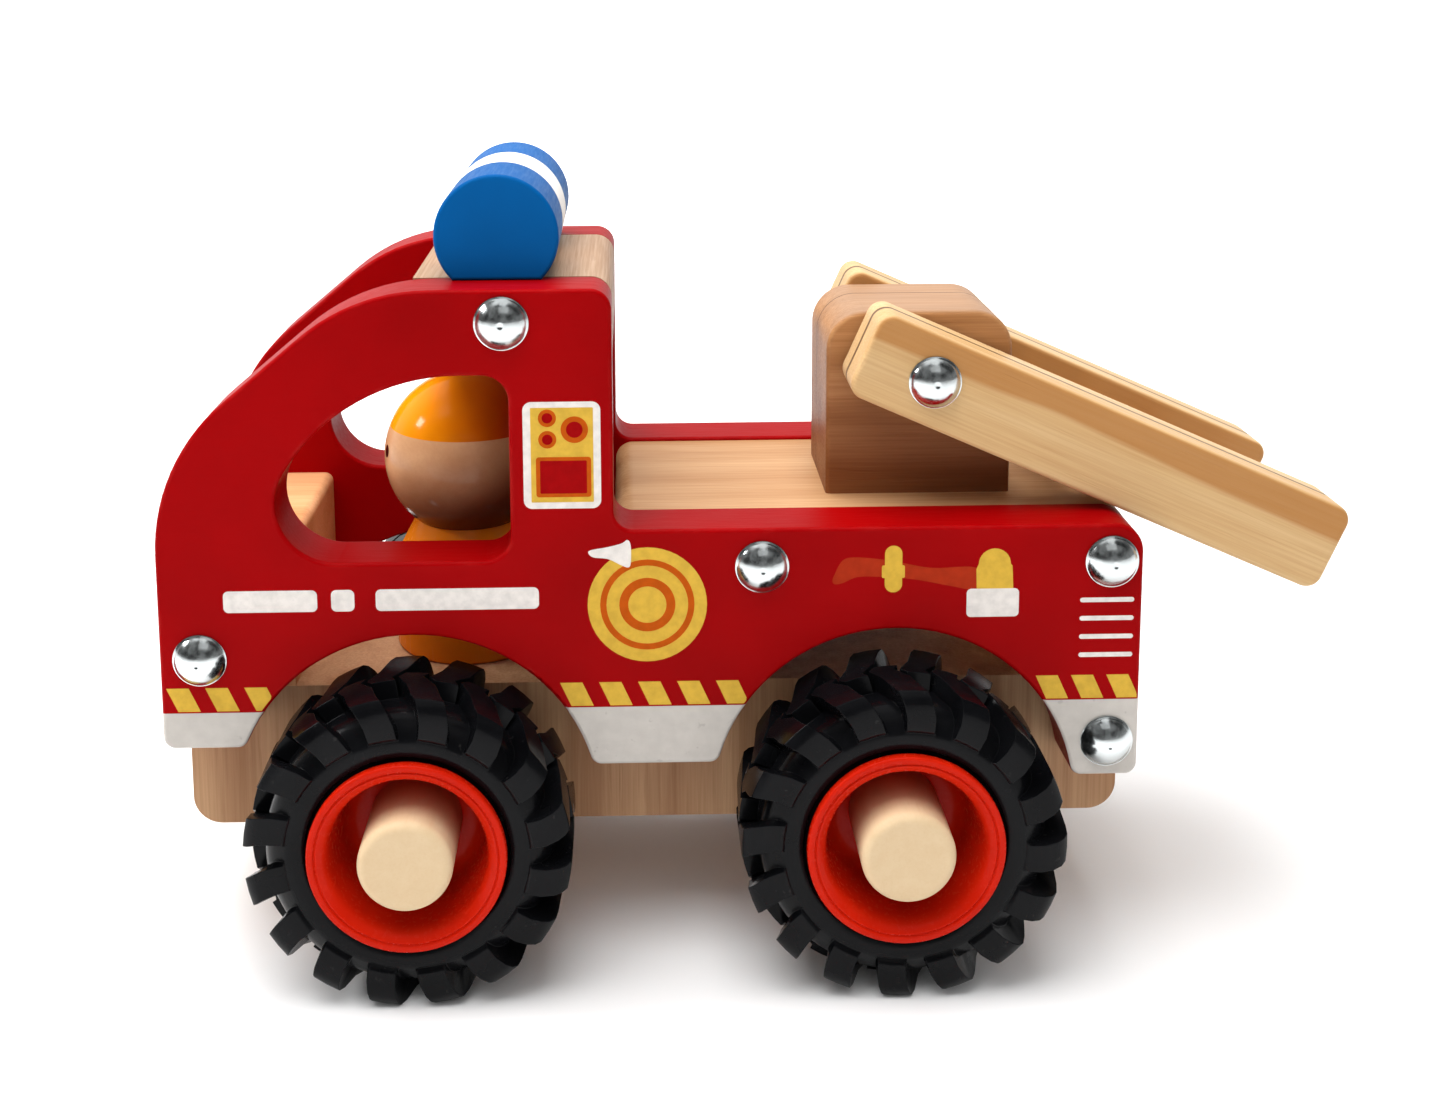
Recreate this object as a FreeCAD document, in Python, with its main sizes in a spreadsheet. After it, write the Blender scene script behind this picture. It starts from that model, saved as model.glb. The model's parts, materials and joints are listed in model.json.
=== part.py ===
import FreeCAD, Part
import math
import os

import Sketcher
from FreeCAD import Placement, Rotation, Vector

# Toy fire engine: two nailed side panels on a wooden chassis plank, a ball-headed driver,
# a beacon bar on the roof, four big wheels on dowel axles and a hinged ladder.
#
# Frame: +Z up, the nose points to -X, so the engine's left side is at -Y.
# Origin: on the underside of the chassis, on the centre plane, midway between the axles.
# All sizes are in millimetres and all angles in degrees.

SIZES = {
    # side panels
    "panel_thick": 10.0,
    "inner_width": 38.0,
    "nose_front": -75.0,
    "body_rear": 74.5,
    "roof_top": 88.4,
    "cab_rear": -6.1,
    "bed_edge": 51.3,
    "nose_slope": 40.0,
    "nose_slope_start": 83.75,
    "nose_slope_reach": 25.4,
    "nose_low_round": 31.0,
    "nose_high_round": 30.0,
    "roof_rear_round": 3.2,
    "bed_corner_round": 3.0,
    "bed_rear_round": 4.5,
    "skirt_round": 1.8,
    "skirt_front": 17.5,
    "skirt_middle": 13.9,
    "skirt_rear": 10.9,
    "arch_radius": 27.9,
    "arch_level": 7.2,
    "panel_edge_round": 0.6,
    # cab window
    "window_rear": -21.6,
    "window_bottom": 46.7,
    "window_top": 75.4,
    "window_slope": 58.4,
    "window_front_reach": 24.73,
    "window_front_round": 30.9,
    "window_low_round": 9.1,
    "window_corner_round": 4.0,
    # planks between the panels
    "chassis_front": -73.6,
    "chassis_rear": 74.3,
    "chassis_thick": 22.9,
    "chassis_round": 4.5,
    "front_block_rear": -56.7,
    "front_block_tall": 22.8,
    "front_block_round": 1.5,
    "roof_block_front": -36.5,
    "roof_block_thick": 12.0,
    "deck_top": 50.7,
    "deck_thick": 12.0,
    "deck_round": 3.0,
    # beacon bar
    "beacon_at": -23.5,
    "beacon_level": 95.1,
    "beacon_radius": 9.5,
    "beacon_long": 43.6,
    "beacon_edge": 0.6,
    "beacon_peg_apart": 10.0,
    # driver
    "driver_at": -30.6,
    "driver_foot_radius": 12.4,
    "driver_shoulder_radius": 12.0,
    "driver_shoulder_level": 38.4,
    "driver_neck_radius": 8.4,
    "driver_neck_level": 45.2,
    "head_radius": 13.8,
    "head_level": 55.1,
    "driver_peg_bottom": 36.0,
    "driver_peg_top": 54.0,
    # ladder block
    "block_front": 28.0,
    "block_rear": 57.8,
    "block_top": 80.7,
    "block_width": 22.4,
    "block_round": 6.3,
    "block_edge": 0.8,
    "block_peg_apart": 16.0,
    # ladder
    "pivot_at": 43.2,
    "pivot_level": 72.2,
    "ladder_slope": 24.0,
    "rail_long": 81.0,
    "rail_wide": 14.0,
    "rail_thick": 11.5,
    "rail_inset": 11.8,
    "rail_gap": 23.4,
    "rail_corner": 2.5,
    "rail_edge": 0.8,
    "rung_radius": 2.5,
    "rung_deep": 7.0,
    "rung_first": 24.0,
    "rung_pitch": 12.0,
    "pin_radius": 2.0,
    "pin_clearance": 0.05,
    # domed nails and pivot caps
    "dome_radius": 4.1,
    "dome_tall": 2.4,
    "nail_radius": 1.1,
    "nail_long": 20.0,
    "nail_tip": 2.0,
    "cap_spike": 4.0,
    # glue dowels
    "peg_radius": 3.0,
    "peg_half": 6.0,
    # wheels
    "wheel_base": 73.46,
    "axle_level": 6.4,
    "axle_radius": 4.0,
    "axle_clearance": 0.05,
    "tyre_radius": 24.3,
    "tyre_bore": 13.2,
    "tyre_inner": 24.7,
    "tyre_outer": 41.4,
    "shoulder_radius": 24.0,
    "wall_radius": 19.5,
    "bead_radius": 15.5,
    "rim_radius": 14.7,
    "rim_face": 42.4,
    "rim_lip_radius": 13.7,
    "rim_cup_radius": 11.8,
    "rim_bowl_radius": 10.6,
    "rim_floor": 29.5,
    "rim_boss": 19.3,
    "hub_radius": 7.0,
    "hub_end": 44.8,
    "hub_edge": 1.3,
    "hub_cover": 4.0,
}

LADDER_RUNGS = 4

doc = FreeCAD.newDocument("toy_fire_engine")
sheet = doc.addObject("Spreadsheet::Sheet", "Sizes")
for row, (alias, value) in enumerate(SIZES.items(), start=1):
    sheet.set(f"A{row}", alias)
    sheet.set(f"B{row}", str(value))
    sheet.setAlias(f"B{row}", alias)
doc.recompute()

parts = {}


def size(alias):
    """The value of one cell of the sheet."""
    return float(sheet.get(alias))


def bind(item, prop, formula):
    """Bind a property to a formula in which every alias of the sheet may be used."""
    words = sorted(SIZES, key=len, reverse=True)
    for word in words:
        formula = formula.replace(word, f"<{words.index(word)}>")
    for index, word in enumerate(words):
        formula = formula.replace(f"<{index}>", f"Sizes.{word}")
    item.setExpression(prop, formula)


def keep(label, item):
    """Name a finished sub-part."""
    item.Label = label
    parts[label] = item
    return item


# ---------------------------------------------------------------- sketches and bodies

def new_body(name):
    return doc.addObject("PartDesign::Body", name)


def new_sketch(body, name, role="XZ_Plane"):
    """A sketch on one of the body's own origin planes."""
    sketch = body.newObject("Sketcher::SketchObject", name)
    plane = [item for item in body.Origin.OriginFeatures if item.Role == role][0]
    sketch.AttachmentSupport = [(plane, "")]
    sketch.MapMode = "FlatFace"
    return sketch


def draw_outline(sketch, corners):
    """Draw a closed outline from corners (x, y, round), each rounded with its own radius."""
    ends = []
    for index, (x, y, rounding) in enumerate(corners):
        here = Vector(x, y, 0)
        before = Vector(*corners[index - 1][:2], 0)
        after = Vector(*corners[(index + 1) % len(corners)][:2], 0)
        back = (before - here).normalize()
        ahead = (after - here).normalize()
        if rounding == 0:
            ends.append((here, here, None))
            continue
        half = back.getAngle(ahead) / 2
        reach = rounding / math.tan(half)
        middle = here + (back + ahead).normalize() * (rounding / math.sin(half))
        nearest = middle + (here - middle).normalize() * rounding
        ends.append((here + back * reach, here + ahead * reach, nearest))
    for index, (start, end, nearest) in enumerate(ends):
        if nearest:
            sketch.addGeometry(Part.Arc(start, nearest, end))
        following = ends[(index + 1) % len(ends)][0]
        if (following - end).Length > 1e-6:
            sketch.addGeometry(Part.LineSegment(end, following))


def draw_circle(sketch, x, y, radius):
    """Draw a circle whose centre and radius are bound to formulas of the sheet."""
    circle = sketch.addGeometry(Part.Circle(Vector(1, 1, 0), Vector(0, 0, 1), 1))
    rules = {
        "x": (Sketcher.Constraint("DistanceX", -1, 1, circle, 3, 1.0), x),
        "y": (Sketcher.Constraint("DistanceY", -1, 1, circle, 3, 1.0), y),
        "radius": (Sketcher.Constraint("Radius", circle, 1.0), radius),
    }
    for name, (rule, formula) in rules.items():
        number = sketch.addConstraint(rule)
        sketch.renameConstraint(number, f"{name}{circle}")
        bind(sketch, f"Constraints.{name}{circle}", formula)


def pad(body, sketch, name, length, symmetric=True):
    feature = body.newObject("PartDesign::Pad", name)
    feature.Profile = sketch
    feature.SideType = "Symmetric" if symmetric else "One side"
    bind(feature, "Length", length)
    sketch.Visibility = False
    return feature


def pocket_through(body, sketch, name):
    """Cut a sketch through the whole body both ways, and check that something went."""
    doc.recompute()
    before = body.Shape.Volume
    feature = body.newObject("PartDesign::Pocket", name)
    feature.Profile = sketch
    feature.Type = "ThroughAll"
    feature.SideType = "Symmetric"
    sketch.Visibility = False
    doc.recompute()
    if body.Shape.Volume > before - 1e-3:
        raise RuntimeError(f"{name} cuts nothing")
    return feature


def round_edges(body, name, radius, wanted, kind="PartDesign::Fillet"):
    """Fillet or chamfer the edges of the body's tip that the test wanted(edge) picks."""
    doc.recompute()
    tip = body.Tip
    picked = [f"Edge{n}" for n, edge in enumerate(tip.Shape.Edges, start=1) if wanted(edge)]
    feature = body.newObject(kind, name)
    feature.Base = (tip, picked)
    bind(feature, "Radius" if kind == "PartDesign::Fillet" else "Size", radius)
    return feature


def across(edge):
    """True for a straight edge that runs along Y."""
    return isinstance(edge.Curve, Part.Line) and abs(edge.tangentAt(edge.FirstParameter).y) > 0.999


def at_side(edge):
    """True for an edge that lies in a plane of constant Y."""
    box = edge.BoundBox
    return box.YLength < 1e-4


def plank(label, front, rear, bottom, top, width):
    """A board between the panels: a side outline padded both ways from the centre plane."""
    body = new_body(label)
    sketch = new_sketch(body, f"{label}_outline")
    draw_outline(sketch, [(front, bottom, 0), (rear, bottom, 0), (rear, top, 0), (front, top, 0)])
    pad(body, sketch, f"{label}_pad", width)
    return body


def revolve(body, sketch, name):
    """Turn a profile a full circle about the sketch's upright axis."""
    feature = body.newObject("PartDesign::Revolution", name)
    feature.Profile = sketch
    feature.ReferenceAxis = (sketch, ["V_Axis"])
    feature.Angle = 360
    sketch.Visibility = False
    return feature


def turned(label, points, placement):
    """A solid turned about its own Z axis, from profile points (radius, height, round)."""
    body = new_body(label)
    sketch = new_sketch(body, f"{label}_profile")
    draw_outline(sketch, [(point + (0,))[:3] for point in points])
    revolve(body, sketch, f"{label}_turn")
    body.Placement = placement
    return body


def rod(name, radius, length, placement):
    """A straight dowel or pin that starts at its placement and runs along its own Z."""
    item = doc.addObject("Part::Cylinder", name)
    bind(item, "Radius", radius)
    bind(item, "Height", length)
    item.Placement = placement
    return item


def drilled(base, tools, name):
    """Cut dowels, nails or bores out of a piece, so that they fit their holes exactly."""
    doc.recompute()
    gathered = tools[0]
    if len(tools) > 1:
        gathered = doc.addObject("Part::MultiFuse", f"{name}_tools")
        gathered.Shapes = tools
    cut = doc.addObject("Part::Cut", name)
    cut.Base = base
    cut.Tool = gathered
    return cut


def sideways(x, y, z, side):
    """A placement whose own +Z points out of one side: side is -1 for left, +1 for right."""
    return Placement(Vector(x, y, z), Rotation(Vector(1, 0, 0), -90 * side))


SIDES = {"left": -1, "right": 1}
panel_inner = size("inner_width") / 2
panel_outer = panel_inner + size("panel_thick")

# ---------------------------------------------------------------- domed nails

NAILS = {
    "roof": (-22.4, 83.4),
    "nose": (-68.9, 31.8),
    "deck_front": (16.3, 45.4),
    "deck_rear": (69.6, 45.5),
    "chassis": (69.6, 16.6),
}


def domed(label, shank_radius, shank_long, placement):
    """A pressed dome on a shank; height 0 is the surface that the dome sits on."""
    dome, tall = size("dome_radius"), size("dome_tall")
    tip = size("nail_tip")
    sphere = (dome ** 2 + tall ** 2) / (2 * tall)
    body = new_body(label)
    sketch = new_sketch(body, f"{label}_profile")
    lean = math.asin(dome / sphere) / 2
    top = Vector(0, tall, 0)
    middle = Vector(sphere * math.sin(lean), tall - sphere * (1 - math.cos(lean)), 0)
    rim = Vector(dome, 0, 0)
    neck = Vector(shank_radius, 0, 0)
    low = Vector(shank_radius, -shank_long + tip, 0)
    end = Vector(0, -shank_long, 0)
    sketch.addGeometry(Part.Arc(top, middle, rim))
    for start, stop in [(rim, neck), (neck, low), (low, end), (end, top)]:
        sketch.addGeometry(Part.LineSegment(start, stop))
    revolve(body, sketch, f"{label}_turn")
    body.Placement = placement
    return body


nails = {}
for side, sign in SIDES.items():
    for name, (x, z) in NAILS.items():
        label = f"{side}_{name}_nail"
        place = sideways(x, sign * panel_outer, z, sign)
        nails[side, name] = keep(label, domed(label, size("nail_radius"), size("nail_long"), place))

# ---------------------------------------------------------------- side panels

nose, rear = size("nose_front"), size("body_rear")
roof, bed = size("roof_top"), size("bed_edge")
cab_rear = size("cab_rear")
half_base = size("wheel_base") / 2

# The sloping line of the nose runs through one known point; its two ends are where it
# meets the upright nose and the level roof.
slope = math.tan(math.radians(size("nose_slope")))
slope_x, slope_z = nose + size("nose_slope_reach"), size("nose_slope_start")
slope_foot = slope_z - slope * (slope_x - nose)
slope_head = slope_x + (roof - slope_z) / slope

skirt = size("skirt_round")
PANEL_OUTLINE = [
    (nose, size("skirt_front"), skirt),
    (-half_base, size("skirt_front"), 0),
    (-half_base, size("skirt_middle"), 0),
    (half_base, size("skirt_middle"), 0),
    (half_base, size("skirt_rear"), 0),
    (rear, size("skirt_rear"), skirt),
    (rear, bed, size("bed_rear_round")),
    (cab_rear, bed, size("bed_corner_round")),
    (cab_rear, roof, size("roof_rear_round")),
    (slope_head, roof, size("nose_high_round")),
    (nose, slope_foot, size("nose_low_round")),
]

window_rear, window_bottom = size("window_rear"), size("window_bottom")
window_top = size("window_top")
window_slope = math.tan(math.radians(size("window_slope")))
window_head = window_rear - size("window_front_reach")
window_foot = window_head - (window_top - window_bottom) / window_slope
WINDOW_OUTLINE = [
    (window_rear, window_bottom, size("window_corner_round")),
    (window_rear, window_top, size("window_corner_round")),
    (window_head, window_top, size("window_front_round")),
    (window_foot, window_bottom, size("window_low_round")),
]


def side_panel(label, sign):
    """One side panel, padded outwards from its inner face."""
    body = new_body(label)
    sketch = new_sketch(body, f"{label}_outline")
    draw_outline(sketch, PANEL_OUTLINE)
    pad(body, sketch, f"{label}_pad", "panel_thick")
    window = new_sketch(body, f"{label}_window")
    draw_outline(window, WINDOW_OUTLINE)
    pocket_through(body, window, f"{label}_window_cut")
    arches = new_sketch(body, f"{label}_arches")
    draw_circle(arches, "-wheel_base / 2", "arch_level", "arch_radius")
    draw_circle(arches, "wheel_base / 2", "arch_level", "arch_radius")
    pocket_through(body, arches, f"{label}_arch_cut")
    arch_reach = size("arch_radius") - 2
    skirt_bottoms = [size("skirt_front"), size("skirt_middle"), size("skirt_rear")]

    def skirt_corner(edge):
        at = edge.BoundBox
        near_bottom = min(abs(at.ZMin - level) for level in skirt_bottoms) < 0.01
        on_arch = abs(abs(abs(at.XMin) - half_base) - arch_reach) < 3
        return across(edge) and near_bottom and on_arch

    round_edges(body, f"{label}_skirt_corners", "skirt_round", skirt_corner)
    round_edges(body, f"{label}_edges", "panel_edge_round", at_side)
    body.Placement = Placement(Vector(0, sign * (panel_inner + panel_outer) / 2, 0), Rotation())
    return body


for side, sign in SIDES.items():
    shaft = [nails[side, name] for name in NAILS]
    panel = side_panel(f"{side}_panel_board", sign)
    keep(f"{side}_side_panel", drilled(panel, shaft, f"{side}_side_panel"))

# ---------------------------------------------------------------- axles and wheels

tread_inner, tread_outer = size("tyre_inner"), size("tyre_outer")
tyre_radius, shoulder_radius = size("tyre_radius"), size("shoulder_radius")
tyre_bore, bead_radius, wall_radius = size("tyre_bore"), size("bead_radius"), size("wall_radius")
rim_face, rim_radius = size("rim_face"), size("rim_radius")
hub_radius, hub_end = size("hub_radius"), size("hub_end")
axle_radius, axle_end = size("axle_radius"), size("hub_end") - size("hub_cover")
rim_floor, rim_boss = size("rim_floor"), size("rim_boss")
lip, cup, bowl = size("rim_lip_radius"), size("rim_cup_radius"), size("rim_bowl_radius")

# Turned profiles (radius, distance from the centre plane), for a wheel that faces +Z.
TYRE_PROFILE = [
    (tyre_bore, tread_inner + 1.5),
    (bead_radius, tread_inner + 0.2, 1.0),
    (wall_radius, tread_inner - 0.4, 1.0),
    (shoulder_radius, tread_inner, 1.0),
    (tyre_radius, (tread_inner + tread_outer) / 2, 20.0),
    (shoulder_radius, tread_outer, 1.0),
    (wall_radius, tread_outer + 0.4, 1.0),
    (bead_radius, tread_outer - 0.2, 1.0),
    (tyre_bore, tread_outer - 1.5),
]
RIM_PROFILE = [
    (axle_radius, rim_boss),
    (hub_radius, rim_boss, 0.5),
    (hub_radius, tread_inner),
    (rim_radius, tread_inner - 0.8, 0.5),
    (rim_radius, tread_inner + 0.2, 0.5),
    (tyre_bore, tread_inner + 1.5),
    (tyre_bore, tread_outer - 1.5),
    (rim_radius, tread_outer - 0.2, 0.5),
    (rim_radius, rim_face, 0.5),
    (lip, rim_face, 0.2),
    (lip - 0.2, rim_face - 0.4, 0.1),
    (lip - 0.45, rim_face - 0.1, 0.2),
    (cup, rim_face - 1.1, 2.0),
    (bowl, rim_floor, 2.5),
    (axle_radius, rim_floor),
]
HUB_PROFILE = [
    (axle_radius, rim_floor),
    (hub_radius, rim_floor, 0.4),
    (hub_radius, hub_end, size("hub_edge")),
    (0, hub_end),
    (0, axle_end),
    (axle_radius, axle_end),
]

axle_bores = []
AXLES = {"front": -half_base, "rear": half_base}
for end, x in AXLES.items():
    z = size("axle_level")
    place = sideways(x, axle_end, z, -1)
    keep(f"{end}_axle", rod(f"{end}_axle", "axle_radius", "2 * (hub_end - hub_cover)", place))
    place = sideways(x, hub_end, z, -1)
    bore = rod(f"{end}_axle_bore", "axle_radius + axle_clearance", "2 * hub_end", place)
    axle_bores.append(bore)
    for side, sign in SIDES.items():
        for piece, profile in [("tyre", TYRE_PROFILE), ("rim", RIM_PROFILE), ("hub", HUB_PROFILE)]:
            label = f"{end}_{side}_{piece}"
            keep(label, turned(label, profile, sideways(x, 0, z, sign)))

# ---------------------------------------------------------------- beacon bar

beacon_x, beacon_z = size("beacon_at"), size("beacon_level")
beacon_r = size("beacon_radius")
flat = beacon_z - roof
corner = math.sqrt(beacon_r ** 2 - flat ** 2)
beacon_bar = new_body("beacon_board")
beacon_outline = new_sketch(beacon_bar, "beacon_outline")
foot_front = Vector(beacon_x - corner, roof, 0)
foot_rear = Vector(beacon_x + corner, roof, 0)
beacon_outline.addGeometry(Part.Arc(foot_front, Vector(beacon_x, beacon_z + beacon_r, 0), foot_rear))
beacon_outline.addGeometry(Part.LineSegment(foot_rear, foot_front))
pad(beacon_bar, beacon_outline, "beacon_pad", "beacon_long")
round_edges(beacon_bar, "beacon_edges", "beacon_edge", lambda edge: at_side(edge) and not across(edge))

peg_length = "2 * peg_half"
peg_half = size("peg_half")


def upright_peg(label, x, y, z):
    """A glue dowel that joins two pieces whose common face is at level z."""
    place = Placement(Vector(x, y, z - peg_half), Rotation())
    return keep(label, rod(label, "peg_radius", peg_length, place))


beacon_pegs = []
for side, sign in SIDES.items():
    peg_y = sign * size("beacon_peg_apart") / 2
    beacon_pegs.append(upright_peg(f"beacon_{side}_dowel", beacon_x, peg_y, roof))
keep("beacon_bar", drilled(beacon_bar, beacon_pegs, "beacon_bar"))

# ---------------------------------------------------------------- driver

driver_x = size("driver_at")
head_z, head_r = size("head_level"), size("head_radius")
chassis_top = size("chassis_thick")
driver_place = Placement(Vector(driver_x, 0, 0), Rotation())
DRIVER_PROFILE = [
    (0, chassis_top),
    (size("driver_foot_radius"), chassis_top, 0.6),
    (size("driver_shoulder_radius"), size("driver_shoulder_level"), 2.5),
    (size("driver_neck_radius"), size("driver_neck_level"), 0.8),
    (0, size("driver_neck_level")),
]
driver_torso = turned("driver_torso", DRIVER_PROFILE, driver_place)
driver_ball = doc.addObject("Part::Sphere", "driver_ball")
bind(driver_ball, "Radius", "head_radius")
driver_ball.Placement = Placement(Vector(driver_x, 0, head_z), Rotation())
peg_place = Placement(Vector(driver_x, 0, size("driver_peg_bottom")), Rotation())
driver_peg = rod("driver_dowel", "peg_radius", "driver_peg_top - driver_peg_bottom", peg_place)
keep("driver_dowel", driver_peg)
keep("driver_head", drilled(driver_ball, [driver_peg], "driver_head"))
keep("driver_body", drilled(driver_torso, [driver_ball, driver_peg], "driver_body"))

# ---------------------------------------------------------------- planks between the panels

chassis_front, chassis_rear = size("chassis_front"), size("chassis_rear")
deck_top = size("deck_top")


def level(z):
    """A test for edges that lie at one level."""
    return lambda edge: abs(edge.BoundBox.ZMin - z) < 0.01 and abs(edge.BoundBox.ZMax - z) < 0.01


chassis = plank("chassis_board", chassis_front, chassis_rear, 0, chassis_top, "inner_width")
at_bottom = level(0)
round_edges(chassis, "chassis_ends", "chassis_round", lambda edge: across(edge) and at_bottom(edge))
chassis_tools = axle_bores + [nails[side, "chassis"] for side in SIDES]
keep("chassis_block", drilled(chassis, chassis_tools, "chassis_block"))

front_top = chassis_top + size("front_block_tall")
front = plank("front_board", chassis_front, size("front_block_rear"), chassis_top, front_top, "inner_width")
at_front_top = level(front_top)
round_edges(front, "front_board_top", "front_block_round", lambda edge: across(edge) and at_front_top(edge))
keep("front_block", drilled(front, [nails[side, "nose"] for side in SIDES], "front_block"))

roof_bottom = roof - size("roof_block_thick")
roof_board = plank("roof_board", size("roof_block_front"), cab_rear, roof_bottom, roof, "inner_width")
at_roof = level(roof)
round_edges(
    roof_board,
    "roof_board_rear",
    "roof_rear_round",
    lambda edge: across(edge) and at_roof(edge) and edge.BoundBox.XMin > cab_rear - 1,
)
roof_tools = beacon_pegs + [nails[side, "roof"] for side in SIDES]
keep("roof_block", drilled(roof_board, roof_tools, "roof_block"))

# The ladder block stands on two glue dowels in the bed deck.
block_front, block_rear = size("block_front"), size("block_rear")
block_middle = (block_front + block_rear) / 2
block_pegs = []
for name, sign in [("front", -1), ("rear", 1)]:
    peg_x = block_middle + sign * size("block_peg_apart") / 2
    block_pegs.append(upright_peg(f"ladder_block_{name}_dowel", peg_x, 0, deck_top))

deck = plank("deck_board", cab_rear, chassis_rear, deck_top - size("deck_thick"), deck_top, "inner_width")
at_deck = level(deck_top)
round_edges(deck, "deck_board_ends", "deck_round", lambda edge: across(edge) and at_deck(edge))
deck_tools = block_pegs + [nails[side, name] for side in SIDES for name in ("deck_front", "deck_rear")]
keep("bed_deck", drilled(deck, deck_tools, "bed_deck"))

# ---------------------------------------------------------------- ladder block

pivot_x, pivot_z = size("pivot_at"), size("pivot_level")
block_width = size("block_width")
block = plank("block_board", block_front, block_rear, deck_top, size("block_top"), "block_width")
at_block_top = level(size("block_top"))
round_edges(block, "block_top_corners", "block_round", lambda edge: across(edge) and at_block_top(edge))
round_edges(
    block,
    "block_side_edges",
    "block_edge",
    lambda edge: at_side(edge) and edge.BoundBox.ZMax > deck_top + 1,
)
bore_place = sideways(pivot_x, block_width / 2 + 1, pivot_z, -1)
pivot_bore = rod("pivot_bore", "pin_radius + pin_clearance", "block_width + 2", bore_place)
keep("ladder_block", drilled(block, block_pegs + [pivot_bore], "ladder_block"))

# ---------------------------------------------------------------- ladder

# The ladder's own frame: origin at the pivot, +X along the rails towards their far end.
rail_half = size("rail_wide") / 2
rail_inner = size("rail_gap") / 2
rail_outer = rail_inner + size("rail_thick")
ladder = Placement(Vector(pivot_x, 0, pivot_z), Rotation(Vector(0, 1, 0), size("ladder_slope")))
rail_start = -size("rail_inset")
rail_end = rail_start + size("rail_long")
rail_corner = size("rail_corner")
RAIL_OUTLINE = [
    (rail_start, -rail_half, rail_corner),
    (rail_end, -rail_half, rail_corner),
    (rail_end, rail_half, rail_corner),
    (rail_start, rail_half, rail_corner),
]

pin_length = "rail_gap + 2 * rail_thick"
pin = rod("ladder_pivot_rod", "pin_radius", pin_length, ladder * sideways(0, rail_outer, 0, -1))

rungs = []
rung_out = rail_inner + size("rung_deep")
for number in range(LADDER_RUNGS):
    along = size("rung_first") + number * size("rung_pitch")
    label = f"ladder_rung_{number + 1}"
    rung = rod(label, "rung_radius", "rail_gap + 2 * rung_deep", ladder * sideways(along, rung_out, 0, -1))
    rungs.append(keep(label, rung))

for side, sign in SIDES.items():
    label = f"ladder_{side}_rail"
    rail = new_body(f"{label}_board")
    sketch = new_sketch(rail, f"{label}_outline")
    draw_outline(sketch, RAIL_OUTLINE)
    pad(rail, sketch, f"{label}_pad", "rail_thick")
    round_edges(rail, f"{label}_edges", "rail_edge", at_side)
    rail.Placement = ladder * Placement(Vector(0, sign * (rail_inner + rail_outer) / 2, 0), Rotation())
    keep(label, drilled(rail, rungs + [pin], label))

# The caps' short spikes are let into the ends of the pin.
caps = []
for side, sign in SIDES.items():
    label = f"ladder_{side}_cap"
    place = ladder * sideways(0, sign * rail_outer, 0, sign)
    caps.append(keep(label, domed(label, size("nail_radius"), size("cap_spike"), place)))
keep("ladder_pivot_pin", drilled(pin, caps, "ladder_pivot_pin"))

# ---------------------------------------------------------------- checks and files

doc.recompute()
for item in doc.Objects:
    bad = {"Invalid", "Error"} & set(item.State)
    if bad:
        raise RuntimeError(f"{item.Label} is {bad}")
for label, item in parts.items():
    if item.Shape.isNull() or not item.Shape.isValid():
        raise RuntimeError(f"{label} has no valid shape")
    if len(item.Shape.Solids) != 1:
        raise RuntimeError(f"{label} has {len(item.Shape.Solids)} solids")

os.makedirs("parts", exist_ok=True)
for label, item in parts.items():
    item.Shape.exportStep(f"parts/{label}.step")
print(f"{len(parts)} sub-parts written")
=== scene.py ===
import json
import math

import bmesh
import bpy
from mathutils import Matrix, Vector


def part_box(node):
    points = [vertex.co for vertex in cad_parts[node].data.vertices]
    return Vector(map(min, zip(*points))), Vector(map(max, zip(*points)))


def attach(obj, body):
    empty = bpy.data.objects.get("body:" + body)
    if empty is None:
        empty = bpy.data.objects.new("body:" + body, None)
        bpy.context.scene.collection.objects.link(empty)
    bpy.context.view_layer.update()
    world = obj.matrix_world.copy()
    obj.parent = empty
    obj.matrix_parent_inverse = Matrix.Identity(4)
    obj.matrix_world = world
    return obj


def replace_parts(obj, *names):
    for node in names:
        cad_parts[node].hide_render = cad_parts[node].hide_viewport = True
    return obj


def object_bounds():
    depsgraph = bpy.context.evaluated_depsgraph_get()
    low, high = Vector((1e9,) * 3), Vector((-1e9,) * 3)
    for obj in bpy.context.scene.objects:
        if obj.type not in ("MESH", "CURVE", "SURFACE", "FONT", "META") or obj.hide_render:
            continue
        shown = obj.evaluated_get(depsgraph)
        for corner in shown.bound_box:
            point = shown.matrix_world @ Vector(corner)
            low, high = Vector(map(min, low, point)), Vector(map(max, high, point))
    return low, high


# Toy fire engine: materials for the CAD nodes, and new meshes for the domes, rims, tyres and prints.
# The frame is the CAD's, in metres: +Z up, the nose towards -X and the left side towards -Y.
# Numbers in section outlines and printed graphics are in millimetres.

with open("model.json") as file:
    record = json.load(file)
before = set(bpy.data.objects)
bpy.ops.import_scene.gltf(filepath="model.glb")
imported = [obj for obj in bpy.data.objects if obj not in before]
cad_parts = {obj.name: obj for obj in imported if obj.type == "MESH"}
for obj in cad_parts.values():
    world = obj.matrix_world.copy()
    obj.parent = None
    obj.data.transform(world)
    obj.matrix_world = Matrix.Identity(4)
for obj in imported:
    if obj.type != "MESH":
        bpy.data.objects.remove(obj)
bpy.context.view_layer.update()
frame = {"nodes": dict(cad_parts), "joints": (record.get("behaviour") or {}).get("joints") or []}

MM = 0.001
NODES = frame["nodes"]
SIDES = {"left": -1, "right": 1}


def srgb(red, green, blue):
    """A display colour (0 to 255) as linear light with alpha."""
    def linear(value):
        share = value / 255
        return share / 12.92 if share <= 0.04045 else ((share + 0.055) / 1.055) ** 2.4
    return (linear(red), linear(green), linear(blue), 1.0)


def darker(color, share):
    """A linear colour with its light scaled down."""
    return tuple(part * share for part in color[:3]) + (1.0,)


# ---------------------------------------------------------------- node trees

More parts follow.
